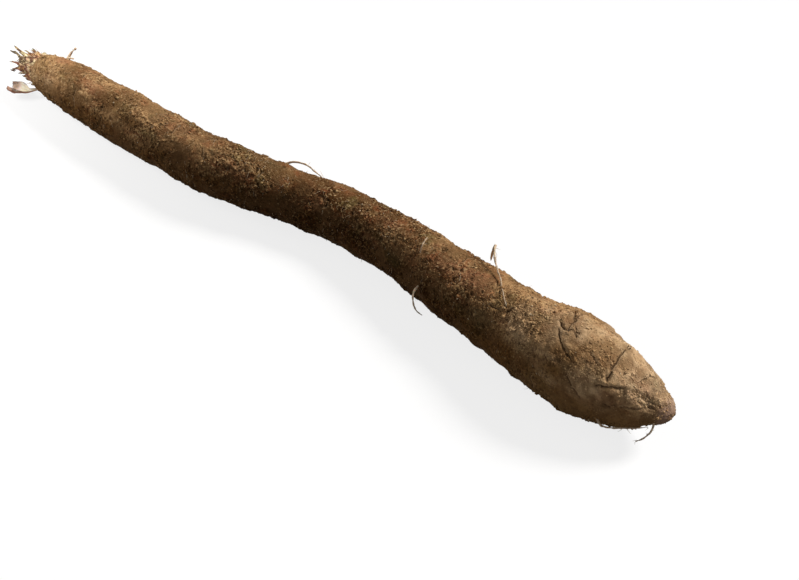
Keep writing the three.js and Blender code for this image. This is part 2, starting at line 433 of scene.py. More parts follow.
def dress_mesh(mesh, name, material, masks, replaced=()):
    """Turns a mesh into a piece of the object. masks: values at its points, by name."""
    mesh.name = name
    mesh.polygons.foreach_set("use_smooth", [True] * len(mesh.polygons))
    for label, values in masks.items():
        layer = mesh.attributes.new(label, "FLOAT", "POINT")
        layer.data.foreach_set("value", np.asarray(values, dtype=np.float32))
    mesh.materials.clear()
    mesh.materials.append(material)
    piece = put(name, mesh)
    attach(piece, "root")
    if replaced:
        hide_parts(*replaced)
    return piece


# ---- the bark's surface


def wrap_bark():
    """A fine closed surface over the taproot. Gives the bmesh, and each point's distance and turn."""
    bm = bmesh.new()
    bmesh.ops.create_uvsphere(bm, u_segments=BARK_COLUMNS, v_segments=BARK_ROWS, radius=1.0)
    put_in_order(bm)
    start, end = END_REACH, growth.length - END_REACH
    body_rows = BARK_ROWS - CROWN_ROWS - TIP_ROWS
    sections = {}
    distances, turns = [], []
    for vert in bm.verts:
        row = round(acos(max(-1, min(1, vert.co.z))) / pi * BARK_ROWS)
        turn = degrees(atan2(vert.co.y, vert.co.x))
        crown_share = max(0.0, 1 - row / CROWN_ROWS)
        tip_share = max(0.0, 1 - (BARK_ROWS - row) / TIP_ROWS)
        body_share = min(max((row - CROWN_ROWS) / body_rows, 0), 1)
        body_share += DENSER_TIP * body_share * (1 - body_share)
        distance = start + (end - start) * body_share
        if row not in sections:
            sections[row] = growth.section(distance)
        middle, heading = sections[row][:2]
        lean = radians(90 * (tip_share - crown_share))
        ray = growth.outward(sections[row], turn) * cos(lean) + heading * sin(lean)
        hit = taproot_tree.ray_cast(middle, ray)[0]
        vert.co = hit
        distances.append(distance + (hit - middle).dot(heading))
        turns.append(turn)
    bmesh.ops.recalc_face_normals(bm, faces=bm.faces)
    bm.normal_update()
    return bm, np.array(distances), np.array(turns)


def turn_between(first, second):
    return (first - second + 180) % 360 - 180


def chance_pits(rng):
    """Pits at random in the rough stretches, as rows of PITS."""
    for _ in range(CHANCE_PITS):
        distance, turn, along, around = rng.choice(ROUGH_PATCHES)
        place = (rng.gauss(distance, 0.6 * along), rng.gauss(turn, 0.6 * around))
        yield (*place, rng.uniform(0.35, 0.75), rng.uniform(0.25, 0.6))


def chance_cracks(rng):
    """Short cracks that run round the root in a few wavering steps, as rows of CRACKS."""
    for _ in range(CHANCE_CRACKS):
        distance, turn = rng.uniform(12, 286), rng.uniform(-180, 180)
        line = [(distance, turn)]
        for _ in range(rng.randint(2, 5)):
            distance += rng.gauss(0, 0.7)
            turn += rng.uniform(4, 9)
            line.append((distance, turn))
        yield (0.35, line)


BARK_NOISE = ("lumps", "folds", "bands", "ripples", "crust", "clods", "grains", "grit", "warp", "holes")


def bark_noise(place):
    """The noise of each kind in BARK_NOISE at a point."""
    p = Vector(place) / MM
    banded = Vector((p.x / 2.6, p.y / 8, p.z / 8))
    away, centres = noise.voronoi(p / 2.1)
    is_hole = noise.cell(centres[0] * 3.7) > 0.2
    return (
        0.45 * bumps(p / 24) + 0.36 * bumps(p / 9, 9, 2, 4),
        abs(bumps(Vector((p.x / 8, p.y / 13, p.z / 13)), 4, 3, 7)),
        bumps(Vector((p.x / 5.5, p.y / 20, p.z / 20)), 2, 5, 5),
        bumps(banded, 3, 7, 1) + 0.6 * bumps(banded * 2.1),
        bumps(p / 7.5, 5, 1, 8) + 0.5 * bumps(p / 2.8, 1, 6, 3),
        abs(bumps(p / 3.6, 2, 8, 5)),
        abs(bumps(p / 1.15)) + 0.6 * abs(bumps(p / 0.8, 4, 4, 4)),
        bumps(p / 11, 6, 6, 1) + 0.6 * bumps(p / 3.4, 8, 1, 1),
        bumps(p / 3.1, 1, 9, 9),
        (1 - smooth_step(away[0], 0.1, 0.32)) * is_hole,
    )


class Bark:
    """The bark's points: places, heights above the smooth root in mm, and masks for its looks."""

    def __init__(self):
        self.bm, self.distances, self.turns = wrap_bark()
        self.places = points_of(self.bm)
        self.normals = np.array([vert.normal for vert in self.bm.verts])
        middles = [np.interp(self.distances, growth.distances, column) for column in growth.middles.T]
        self.radii = np.linalg.norm(self.places - np.stack(middles, axis=1), axis=1)
        self.noise = dict(zip(BARK_NOISE, np.array([bark_noise(place) for place in self.places]).T.copy()))
        self.masks = {"along": self.distances / growth.length}
        rng = random.Random(7)
        self.roughen()
        self.crack([*CRACKS, *chance_cracks(rng)])
        self.pit([*PITS, *chance_pits(rng)])
        self.colour()
        self.push_out()

    def patch(self, distance, turn, along, around):
        """How much the points belong to a soft-edged patch, from 0 to 1."""
        x = (self.distances / MM - distance) / along
        y = turn_between(self.turns, turn) / around
        return np.exp(-(x**2 + y**2))

    def patches(self, rows):
        return np.max([self.patch(*row) for row in rows], axis=0)

    def around(self, first, second):
        """How far round the root one turn lies from another, in mm."""
        return np.radians(turn_between(first, second)) * self.radii / MM

    def near_line(self, along, line):
        """How far points at these distances lie from a line on the bark, in mm.

        Also gives their side of the line, 1 or -1, and whether they lie beside it, not past its ends.
        """
        nearest = np.full(len(along), 1000.0)
        side = np.ones(len(along))
        beside = np.zeros(len(along), dtype=bool)
        for index, ((distance_a, turn_a), (distance_b, turn_b)) in enumerate(zip(line, line[1:])):
            x, y = along - distance_a, self.around(self.turns, turn_a)
            dx, dy = distance_b - distance_a, self.around(turn_b, turn_a)
            share = (x * dx + y * dy) / (dx * dx + dy * dy + 1e-6)
            held = np.clip(share, 0, 1)
            away = np.hypot(x - held * dx, y - held * dy)
            closer = away < nearest
            past_end = (share < 0) & (index == 0) | (share > 1) & (index == len(line) - 2)
            nearest = np.where(closer, away, nearest)
            side = np.where(closer, np.sign(x * dy - y * dx), side)
            beside = np.where(closer, ~past_end, beside)
        return nearest, side, beside

    def roughen(self):
        """Lumps and bands, and where the bark is rough its crust, clods, grains and holes too."""
        lumps, folds, bands, ripples, crust, clods, grains, grit, _, holes = self.noise.values()
        rough = (1 - 0.8 * self.patches(SMOOTH_PATCHES)) * (0.45 + 0.55 * smooth_step(grit, -0.35, 0.15))
        rough = rough + 0.6 * self.patches(ROUGH_PATCHES)
        plates = smooth_step(crust, -0.12, 0.1)
        swollen = smooth_step(self.masks["along"], 0.66, 0.84)
        height = lumps + 0.34 * bands + 0.15 * ripples * rough + 0.14 * plates + 0.7 * (clods - 0.2) * rough
        folded = (smooth_step(folds, 0.0, 0.12) - 0.8) * smooth_step(crust, -0.4, 0.3)
        height += (0.12 + 0.3 * swollen) * folded
        height += 0.46 * (grains - 0.3) * rough * (0.45 + 0.55 * plates)
        self.height = height - 0.6 * holes * rough
        # hollow marks where the bark lies low; the finish darkens it there as painted shade.
        hollow = 0.8 * holes * rough + 1.5 * (0.34 - grains) * rough + 1.2 * (0.1 - clods)
        self.masks["earth"] = plates * (0.55 + 0.45 * rough)
        self.masks["hollow"] = np.clip(hollow, 0, 1)
        self.masks["grit"] = smooth_step(grit, -0.3, 0.35) * rough
        self.masks["rough"] = np.clip(rough, 0, 1)

    def crack(self, cracks):
        """Cracks with a raised lip, masks for the painted shade in them, and a painted highlight on one side.
        The mask gap is how far away the nearest is, in mm.
        """
        count = len(self.places)
        cracked, split = np.zeros(count), np.zeros(count)
        gap = np.full(count, 9.0)
        wavering = (self.distances + 0.7 * MM * self.noise["warp"]) / MM
        for depth, line in cracks:
            away, side, beside = self.near_line(wavering, line)
            cracked = np.maximum(cracked, depth * np.exp(-((away / 0.34) ** 2)))
            self.height += 0.3 * depth * np.exp(-(((away - 1.0) / 0.7) ** 2))
            closer = away < np.abs(gap)
            gap = np.where(closer, away * side, gap)
            split = np.where(closer, beside * smooth_step(away, 1.3, 0.8) * min(1, 0.4 + depth), split)
        self.height -= 0.8 * cracked
        self.masks.update(crack=0.6 * cracked, gap=gap, split=split)

    def pit(self, pits):
        """Pits with a raised rim, and painted shade in them through the crack mask."""
        pitted = np.zeros(len(self.places))
        for distance, turn, radius, depth in pits:
            away = np.hypot(self.distances / MM - distance, self.around(self.turns, turn)) / radius
            pitted = np.maximum(pitted, np.exp(-(away**2)))
            self.height -= depth * np.exp(-(away**2)) - 0.25 * depth * np.exp(-((away - 1.7) ** 2) / 0.3)
        self.masks["crack"] = np.clip(np.maximum(self.masks["crack"], 0.8 * pitted), 0, 1)

    def colour(self):
        """Where dust has settled on upward faces, with painted shade on the flanks, the underside and the
        painted-shade patches, and where the earth is redder or greener.
        """
        settled_dust_and_shade = smooth_step(self.normals[:, 2] + 0.25 * self.noise["grit"], -0.6, 0.9)
        # The dust mask is real dust on upward faces and painted shade where it falls off: on the flanks, the
        # underside and in the patches.
        self.masks["dust"] = np.clip(settled_dust_and_shade - 0.75 * self.patches(PAINTED_SHADE_PATCHES), 0, 1)
        self.masks["hue"] = sum(row[4] * self.patch(*row[:4]) for row in HUE_PATCHES)

    def push_out(self):
        """Grooves the crown, then moves each point out by its height."""
        along = self.distances / MM
        crown = np.exp(-((along / 7) ** 2))
        self.height += crown * 0.22 * np.sin(along * 2 * pi / 1.5 + 1.5 * self.noise["ripples"])
        self.places = self.places + self.normals * (self.height * MM)[:, None]
        self.places[:, 2] = np.maximum(self.places[:, 2], 0)
        move_points(self.bm, self.places)
        self.bm.normal_update()


# ---- finishes


def group_of(name, inputs):
    """A node group that puts out Color and Height. Gives its tree, nodes, inputs and outputs."""
    tree = bpy.data.node_groups.new(name, "ShaderNodeTree")
    for label, kind in inputs.items():
        tree.interface.new_socket(label, in_out="INPUT", socket_type="NodeSocket" + kind)
    for label, kind in (("Color", "Color"), ("Height", "Float")):
        tree.interface.new_socket(label, in_out="OUTPUT", socket_type="NodeSocket" + kind)
    given = tree.nodes.new("NodeGroupInput").outputs
    return tree, Nodes(tree), [given[label] for label in inputs], tree.nodes.new("NodeGroupOutput").inputs


def earth_group():
    """Dry earth on bark: its colour in patches and specks, and the height of its grain.

    Pale, Dust and Rough run from 0 to 1: dust settles on what faces up, and where Dust is low the colour is
    multiplied darker as painted shade; rough earth is more speckled.
    Hue is greener below 0 and redder above it.
    """
    kinds = {"Place": "Vector", "Pale": "Float", "Dust": "Float", "Hue": "Float", "Rough": "Float"}
    tree, nodes, (place, pale, dust_and_shade, hue, rough), result = group_of("dry_earth", kinds)
    tinge = nodes.times(hue, 0.11)
    patches = nodes.maths("ADD", nodes.noise(place, 12 * MM, 4), nodes.times(pale, 0.5))
    warm = nodes.maths("ADD", nodes.noise(nodes.stretch(place, 0.8, 1.2, 1.2), 5 * MM, 4, 0.4), tinge)
    green = nodes.maths("SUBTRACT", nodes.noise(place, 8 * MM, 3, 0.2), tinge)
    clump = nodes.noise(place, 2.2 * MM)
    speck = nodes.noise(place, 0.85 * MM)
    grain = nodes.noise(place, 0.42 * MM, 4)
    dirt = nodes.step(pale, 0.0, 1.3, 1.0, 0.4)
    speckled = nodes.step(rough, 0.1, 0.8, 0.35, 1.0)
    dust = nodes.coat(
        nodes.mix(nodes.step(patches, 0.4, 0.95), (0.1, 0.041, 0.0105), (0.46, 0.262, 0.115)),
        (patches, 0.9, 1.24, 1, (0.72, 0.49, 0.28)),
        (warm, 0.48, 0.72, nodes.times(dirt, 0.7), (0.3, 0.1, 0.038)),
        (green, 0.54, 0.72, nodes.times(dirt, 0.65), (0.17, 0.135, 0.045)),
        (clump, 0.48, 0.32, nodes.times(dirt, 0.6), (0.072, 0.032, 0.0105)),
        # The specks and finest grain follow the bump's height: darker where it dips, painted shade in the
        # pits, and lighter where it rises, pale grains with painted highlight.
        (speck, 0.48, 0.37, nodes.times(nodes.times(dirt, speckled), 0.9), (0.045, 0.02, 0.007)),
        (speck, 0.54, 0.66, nodes.times(speckled, 0.7), (0.64, 0.43, 0.215)),
        (grain, 0.6, 0.4, 0.12, (0.05, 0.024, 0.01)),
        (hue, 0.35, 1.0, 0.34, (0.42, 0.19, 0.1)),
        (hue, -0.35, -1.0, 0.34, (0.2, 0.18, 0.085)),
    )
    # Painted shade: where Dust is low, on the flanks and underside, the earth is multiplied darker.
    painted_shade = nodes.mix(1.0, dust, (0.37, 0.3, 0.2), "MULTIPLY")
    nodes.feed(result["Color"], nodes.mix(nodes.step(dust_and_shade, 0.05, 0.92), painted_shade, dust))
    nodes.feed(result["Height"], nodes.maths("ADD", speck, nodes.times(grain, 0.7)))
    return tree


def straw_group():
    """Dry leaf fibre, which runs along X: colour from base to tip, and the height of its ribs.

    Rust runs from 0, cream with green edges, to 1, orange-brown. Dark runs from 0 to 1, a dull purple.
    """
    kinds = {"Place": "Vector", "Along": "Float", "Dark": "Float", "Rust": "Float"}
    tree, nodes, (place, along, dark, rust), result = group_of("straw", kinds)
    ribs = nodes.noise(nodes.stretch(place, 0.12), 0.42 * MM)
    bands = nodes.noise(nodes.stretch(place, 0.35), 1.3 * MM)
    stains = nodes.noise(place, 2.1 * MM)
    # Darker in the grooves between the ribs: the fibre's own streaks, partly painted shade.
    rib_streaks_and_shade = nodes.step(ribs, 0.35, 0.65)
    cream = nodes.mix(rib_streaks_and_shade, (0.26, 0.145, 0.05), (0.92, 0.76, 0.47))
    cream = nodes.mix(nodes.step(bands, 0.44, 0.34, 0, 0.75), cream, (0.24, 0.22, 0.09))
    rusty = nodes.mix(rib_streaks_and_shade, (0.22, 0.085, 0.022), (0.86, 0.53, 0.25))
    rusty = nodes.mix(nodes.step(bands, 0.54, 0.68, 0, 0.6), rusty, (0.74, 0.5, 0.4))
    purple = nodes.mix(nodes.step(stains, 0.4, 0.6), (0.06, 0.02, 0.018), (0.42, 0.12, 0.09))
    rust = nodes.maths("ADD", rust, nodes.step(bands, 0.5, 0.66, -0.15, 0.45))
    skin = nodes.coat(
        nodes.mix(nodes.step(rust, 0.2, 0.8), cream, rusty),
        (along, 0.3, 0.0, 0.5, (0.34, 0.15, 0.05)),
        (stains, 0.5, 0.61, 0.9, (0.1, 0.046, 0.024)),
    )
    skin = nodes.coat(nodes.mix(dark, skin, purple), (along, 0.8, 0.97, 0.85, (0.06, 0.045, 0.025)))
    nodes.feed(result["Color"], skin)
    nodes.feed(result["Height"], ribs)
    return tree


dry_earth = earth_group()
straw = straw_group()


def paleness_and_shade(finish):
    """How pale the earth is along the root, from the crown to the tip: the darker middle is painted shade."""
    ramp_node = finish.add("ValToRGB", Fac=finish.mask("along"))
    ramp = ramp_node.color_ramp
    ramp.elements.remove(ramp.elements[1])
    for place, level in PALENESS_AND_SHADE:
        stop = ramp.elements.new(place) if place else ramp.elements[0]
        stop.color = (level, level, level, 1)
    return finish.times(ramp_node.outputs["Color"], 1.3)


def earth_on(finish):
    dust, hue, rough = map(finish.mask, ("dust", "hue", "rough"))
    return finish.group(dry_earth, Place=finish.place, Pale=paleness_and_shade(finish), Dust=dust, Hue=hue, Rough=rough)


def bark_finish():
    """Bark under dry earth, with painted shade in hollows, pits and cracks, and a painted highlight along one
    lip of each crack.
    """
    finish = Finish("earthy_bark")
    earth = earth_on(finish)
    along, split = finish.mask("along"), finish.mask("split")
    wander = finish.step(finish.noise(finish.place, 1.5 * MM, 2), 0.3, 0.7, -0.25, 0.25)
    gap = finish.maths("ADD", finish.mask("gap"), wander)
    line = finish.times(finish.step(finish.maths("ABSOLUTE", gap), 0.3, 0.1), split)
    # lip: one side of each crack, where a painted highlight goes.
    lip = finish.times(finish.step(gap, 0.25, 0.4), finish.step(gap, 0.95, 0.5))
    skin = finish.mix(finish.noise(finish.place, 3 * MM), (0.09, 0.044, 0.016), (0.19, 0.1, 0.04))
    skin = finish.mix(finish.step(finish.mask("earth"), 0.0, 0.9, 0.45, 1.0), skin, earth["Color"])
    # Painted shade in the hollows.
    skin = finish.mix(finish.times(finish.mask("hollow"), 0.7), skin, (0.035, 0.016, 0.006))
    # Painted shade in the cracks and pits.
    skin = finish.mix(finish.times(finish.mask("crack"), 0.6), skin, (0.03, 0.016, 0.009))
    # Painted shade along each crack's line.
    skin = finish.mix(finish.times(line, 0.66), skin, (0.06, 0.034, 0.016))
    # Painted highlight on one lip of each crack.
    skin = finish.mix(finish.times(finish.times(lip, split), 0.4), skin, (0.66, 0.45, 0.26))
    skin = finish.coat(
        skin,
        (along, 0.982, 0.99, 0.65, (0.33, 0.21, 0.155)),
        (along, 0.02, 0.004, 0.6, (0.15, 0.082, 0.034)),
    )
    relief = finish.maths("SUBTRACT", earth["Height"], line)
    return finish.surface(skin, 0.92, relief, 1.0, 0.35 * MM, gloss=0.06)


def crumb_finish():
    """The same earth, each crumb a little lighter or darker than its neighbours."""
    finish = Finish("earth_crumbs")
    earth = earth_on(finish)
    shade = finish.mask("shade")
    skin = finish.coat(
        earth["Color"],
        (shade, 0.35, 0.0, 0.6, (0.07, 0.031, 0.0105)),
        (shade, 0.7, 1.0, 0.5, (0.48, 0.3, 0.145)),
    )
    return finish.surface(skin, 0.94, earth["Height"], 0.8, 0.2 * MM, gloss=0.06)


def sand_finish():
    finish = Finish("sand_grains")
    skin = finish.mix(finish.mask("shade"), (0.36, 0.25, 0.14), (0.58, 0.46, 0.31))
    return finish.surface(skin, 0.7, finish.noise(finish.place, 0.3 * MM), 0.3, 0.05 * MM)


def dry_leaf_finish():
    finish = Finish("dry_leaf")
    along, dark, rust = map(finish.mask, ("along", "dark", "rust"))
    fibre = finish.group(straw, Place=finish.place, Along=along, Dark=dark, Rust=rust)
    return finish.surface(fibre["Color"], 0.72, fibre["Height"], 0.8, 0.15 * MM)


def pale_leaf_finish():
    """Papery: cream inside with a pink end, red-brown outside, and a grey lip on its far edge."""
    finish = Finish("pale_leaf")
    along, across, inner = map(finish.mask, ("along", "across", "inner"))
    veins = finish.noise(finish.stretch(finish.place, 0.1), 0.55 * MM)
    clouds = finish.noise(finish.stretch(finish.place, 0.4), 1.6 * MM)
    brown = finish.mix(finish.step(clouds, 0.4, 0.62), (0.2, 0.06, 0.035), (0.66, 0.36, 0.27))
    cream = finish.coat(
        finish.mix(finish.step(veins, 0.36, 0.6), (0.9, 0.76, 0.5), (0.98, 0.92, 0.76)),
        (clouds, 0.54, 0.68, 0.5, (0.55, 0.45, 0.2)),
        (along, 0.66, 0.84, 0.8, (1.0, 0.68, 0.54)),
        (along, 0.9, 0.97, 0.6, (0.86, 0.7, 0.64)),
    )
    skin = finish.coat(
        finish.mix(inner, brown, cream),
        (across, 0.8, 0.98, 0.6, (0.6, 0.54, 0.48)),
        (across, -0.5, -0.85, 0.8, (0.36, 0.13, 0.075)),
        (along, 0.42, 0.1, 0.85, (0.34, 0.21, 0.12)),
        (along, 0.975, 1.0, 0.8, (0.09, 0.05, 0.04)),
    )
    finish.let_light_in((1.0, 0.75, 0.5), 1.0 * MM)
    return finish.surface(skin, 0.6, veins, 0.7, 0.1 * MM)


def rootlet_finish():
    """Thin skin, brown where shade is 0, pale tan and less stained where it is 1."""
    finish = Finish("rootlet_skin")
    shade = finish.mask("shade")
    blotches = finish.step(finish.noise(finish.place, 1.3 * MM), 0.52, 0.68, 0, 0.55)
    stain = finish.times(blotches, finish.step(shade, 1.0, 0.7, 0.3, 1.0))
    skin = finish.mix(shade, (0.17, 0.095, 0.045), (0.82, 0.63, 0.44))
    skin = finish.mix(stain, skin, (0.16, 0.085, 0.042))
    finish.let_light_in((1.0, 0.7, 0.45), 0.4 * MM)
    return finish.surface(skin, 0.85, finish.noise(finish.place, 0.3 * MM), 0.6, 0.1 * MM)


# ---- crumbs of earth and grains of sand


class Surface:
    """The triangles of the bark, to scatter things on."""

    def __init__(self, mesh):
        mesh.calc_loop_triangles()
        self.corners = values_of(mesh.loop_triangles, "vertices", 3, np.int32)
        self.places = values_of(mesh.vertices, "co", 3)
        first, second, third = (self.places[self.corners[:, k]] for k in range(3))
        across = np.cross(second - first, third - first)
        self.areas = np.linalg.norm(across, axis=1) / 2
        self.normals = across / np.maximum(2 * self.areas, 1e-15)[:, None]
        labels = ("along", "dust", "hue", "rough", "grit")
        self.masks = {label: values_of(mesh.attributes[label].data, "value") for label in labels}
        self.grit = self.masks.pop("grit")[self.corners].mean(1)

    def scatter(self, rng, count, weights):
        """Random places, their normals and what the bark's masks say there."""
        chance = self.areas * weights
        chosen = rng.choice(len(self.areas), count, p=chance / chance.sum())
        shares = rng.dirichlet((1, 1, 1), count)
        corners = self.corners[chosen]
        places = np.einsum("ij,ijk->ik", shares, self.places[corners])
        masks = {label: (shares * values[corners]).sum(1) for label, values in self.masks.items()}
        return places, self.normals[chosen], masks


def copies_of(shape, count):
    """A mesh of many copies of a small shape, made by an Array modifier."""
    holder = put("shape", mesh_of(shape, "shape"))
    repeat = holder.modifiers.new("repeat", "ARRAY")
    repeat.count = count
    return settle(holder)


def strew(name, surface, weights, count, sizes, flatness, sink, material, seed):
    """Small rounded grains pressed into a surface. sizes: least and greatest radius in mm."""
    rng = np.random.default_rng(seed)
    places, normals, masks = surface.scatter(rng, count, weights)
    grain = bmesh.new()
    bmesh.ops.create_icosphere(grain, subdivisions=1, radius=1.0)
    corners = points_of(grain)
    mesh = copies_of(grain, count)

    low, high = sizes[0] * MM, sizes[1] * MM
    radii = low + (high - low) * rng.random(count) ** 2.2
    sides = np.cross(normals, rng.normal(size=(count, 3)))
    sides /= np.linalg.norm(sides, axis=1)[:, None]
    stretches = rng.uniform(0.65, 1.5, (count, 2))
    lumpy = corners[None] * rng.uniform(0.55, 1.3, (count, len(corners), 1))
    axes = (sides * stretches[:, 0:1], np.cross(normals, sides) * stretches[:, 1:2], normals * flatness)
    points = sum(lumpy[:, :, k : k + 1] * axis[:, None] for k, axis in enumerate(axes))
    centres = places + normals * (radii * flatness * (1 - 2 * sink))[:, None]
    points = points * radii[:, None, None] + centres[:, None]
    points[:, :, 2] = np.maximum(points[:, :, 2], 0.02 * MM)
    mesh.vertices.foreach_set("co", points.reshape(-1))
    masks["shade"] = rng.random(count)
    masks = {label: np.repeat(values, len(corners)) for label, values in masks.items()}
    dress_mesh(mesh, name, material, masks)


def strew_earth(bark_piece):
    surface = Surface(bark_piece.data)
    clear_of_floor = surface.places[surface.corners][:, :, 2].min(1) > 0.35 * MM
    crumbs = crumb_finish()
    patchy = (0.12 + 0.88 * surface.grit) * clear_of_floor * (0.45 + 0.55 * (surface.normals[:, 2] > -0.3))
    for index, sizes in enumerate(CRUMB_SIZES):
        name = f"earth_crumbs_{index + 1}"
        strew(name, surface, patchy, EARTH_CRUMBS, sizes, 0.55, 0.42, crumbs, seed=40 + index)
    clusters = clear_of_floor * (0.15 + surface.grit**3)
    strew("sand_grains", surface, clusters, SAND_GRAINS, (0.14, 0.3), 0.85, 0.25, sand_finish(), seed=50)


# ---- strands


def strand_mesh(paths, sides=4):
    """Thin tapering strands. Each path is a list of (place, radius)."""
    data = bpy.data.curves.new("strands", "CURVE")
    data.dimensions = "3D"
    data.bevel_depth = MM
    data.bevel_resolution = (sides - 4) // 2
    data.use_fill_caps = True
    for path in paths:
        spline = data.splines.new("POLY")
        spline.points.add(len(path) - 1)
        for point, (place, radius) in zip(spline.points, path):
            point.co = (*place, 1)
            point.radius = radius / MM
    return settle(put("strands", data))


def wandering(rng, start, heading, length, steps, wobble, radius, pull=Vector()):
    """A strand that wanders off from a place, thinner towards its end. pull bends it."""
    path = []
    place, heading = Vector(start), Vector(heading).normalized()
    for index in range(steps + 1):
        share = index / steps
        path.append((place, radius * (1 - 0.75 * share)))
        heading = heading + Vector([rng.gauss(0, wobble) for _ in range(3)]) + pull
        heading.normalize()
        place = place + heading * (length / steps)
        place.z = max(place.z, radius)
    return path


def root_hair(rng, bark_tree, clinging):
    """A hair-fine rootlet that clings to the middle of the root or stands off it anywhere."""
    distance = rng.gauss(128, 34) * MM if clinging else rng.uniform(6 * MM, growth.length - 4 * MM)
    section = growth.section(distance)
    outward = growth.outward(section, rng.uniform(-180, 180))
    hit, normal, _, _ = bark_tree.ray_cast(section[0] + outward * 40 * MM, -outward)
    if hit is None or hit.z < 1.5 * MM:
        return None
    lean = rng.uniform(0.05, 0.25 if clinging else 0.7)
    around = section[1].cross(normal) * rng.choice((-1, 1))
    heading = around + section[1] * rng.gauss(0, 0.2 if clinging else 0.7) + normal * lean
    length = rng.uniform(0.8, 3.2) * MM
    radius = 0.1 * MM if clinging else 0.07 * MM
    return wandering(rng, hit - normal * 0.15 * MM, heading, length, 4, 0.16, radius, -normal * 0.16)


def grow_root_hairs(bark_tree):
    rng = random.Random(21)
    paths = []
    while len(paths) < STANDING_HAIRS + CLINGING_HAIRS:
        path = root_hair(rng, bark_tree, clinging=len(paths) >= STANDING_HAIRS)
        if path:
            paths.append(path)
    mesh = strand_mesh(paths)
    shades = [rng.random()] * len(mesh.vertices)
    dress_mesh(mesh, "root_hairs", rootlet_finish(), {"shade": shades})


# ---- leaf bases

LEAF_TINTS = {  # how dark, how rusty, and how far a burnt tip reaches
    "back": (0.3, 0.6),
    "dark": (0.85, 0.5),
    "inner": (0.0, 0.1),
    "lower": (0.3, 0.5),
    "middle": (0.0, 0.75),
    "top": (0.1, 0.9),
    "upper": (0.0, 0.0),
    "wisp": (0.15, 0.1, 0.22),
}


def dress_leaf_base(name, material, dark, rust, burnt=0.0):
    """A ribbed dry stub with a ragged end, its foot pushed into the crown."""
    bm = node_copy(name)
    points = points_of(bm)
    base, end = Vector(points[points[:, 0].argmax()]), Vector(points[points[:, 0].argmin()])
    line = np.array(end - base)
    along = np.clip((points - np.array(base)) @ line / (line @ line), 0, 1)
    axis = (end - base).normalized()
    across = axis.cross(UP).normalized()
    seed = Vector((sum(map(ord, name)) % 17, 3, 5))
    bm.normal_update()
    moved = []
    for vert, share in zip(bm.verts, along):
        spread = vert.co.dot(across) / MM
        rise = vert.co.z / MM
        ribs = bumps(Vector((share * 2.5, spread * 1.9, rise * 1.9)), *seed)
        waves = bumps(Vector((share * 5, spread * 0.7, rise * 0.7)), *seed * 2)
        reach = bumps(Vector((spread * 2.6, rise * 2.6, 1)), *seed)
        pinch = 1.6 * burnt * exp(-(((share - 0.66) / 0.12) ** 2))
        ragged = axis * (2.2 * reach * max(0, share - 0.6) / 0.4)
        push = vert.normal * (0.3 * ribs + 0.12 * waves - pinch) + ragged
        moved.append(vert.co + push * MM - axis * (2.2 * MM * max(0, 0.3 - share) / 0.3))
    move_points(bm, moved)
    masks = {"along": along + burnt * along, "dark": [dark] * len(points), "rust": [rust] * len(points)}
    dress_mesh(mesh_of(bm, name), name + "_fibres", material, masks, [name])


def pale_leaf_place(line, share, rim):
    """A point of the pale leaf. share goes from foot to end, and rim from -1 to 1 across."""
    middle, heading, side, upward = line.section(line.length * (1 - 0.8 * share))
    lean = radians(12 + 22 * share)
    sideways = side * cos(lean) + upward * sin(lean)
    upward = upward * cos(lean) - side * sin(lean)
    half_width = (1.0 + 2.3 * smooth_step(share, 0.1, 0.7) - 1.1 * smooth_step(share, 0.78, 1.0)) * MM
    curl = 1.3 - 0.3 * share
    angle = rim * (curl + 1.7 * max(0, -rim) ** 2 * share)
    radius = half_width / curl
    rib = 0.08 * bumps(Vector((share * 2, rim * 6, 0)), 4, 2, 8)
    wave = 0.5 * bumps(Vector((share * 4.5, rim * 0.8, 3)), 4, 2, 8) * (0.3 + rim * rim)
    tear = 0.8 * bumps(Vector((rim * 4, 1, 1)), 4, 2, 8) * max(0, share - 0.75) / 0.25
    rolled = 1.7 * smooth_step(share, 0.8, 1.0) * (1 + 0.5 * rim)
    place = middle + sideways * (radius * sin(angle)) + upward * (radius * (1 - cos(angle)))
    place = place + upward * ((rib + wave + rolled - 0.3) * MM) - heading * (tear * MM)
    foot = smooth_step(share, 0.38, 0.0)
    place = place + (Vector((1.5, 2.6, 0.4)) * foot + Vector((0.3, -1.2, -1.3)) * (1 - foot)) * MM
    place.z = max(place.z, 0.25 * MM)
    return place


def dress_pale_leaf():
    """The thin, curled foot of a leaf that hangs off the side of the crown."""
    name = "leaf_base_pale"
    line = GrowthLine(points_of(node_copy(name)), 0.5 * MM, 1.0 * MM)
    bm = bmesh.new()
    bmesh.ops.create_grid(bm, x_segments=44, y_segments=22, size=1.0)
    along = [(vert.co.x + 1) / 2 for vert in bm.verts]
    across = [vert.co.y for vert in bm.verts]
    move_points(bm, [pale_leaf_place(line, share, rim) for share, rim in zip(along, across)])
    bmesh.ops.solidify(bm, geom=bm.faces[:], thickness=0.14 * MM)
    put_in_order(bm)
    bmesh.ops.recalc_face_normals(bm, faces=bm.faces)
    inner = [1.0] * len(along) + [0.0] * len(along)
    masks = {"along": along * 2, "across": across * 2, "inner": inner}
    dress_mesh(mesh_of(bm, name), name + "_fibres", pale_leaf_finish(), masks, [name])


# ---- the crown between the leaf bases


def from_axis(turn):
    """The direction out from the crown's axis at a turn in degrees."""
    angle = radians(turn)
    return Vector((0, cos(angle), sin(angle)))


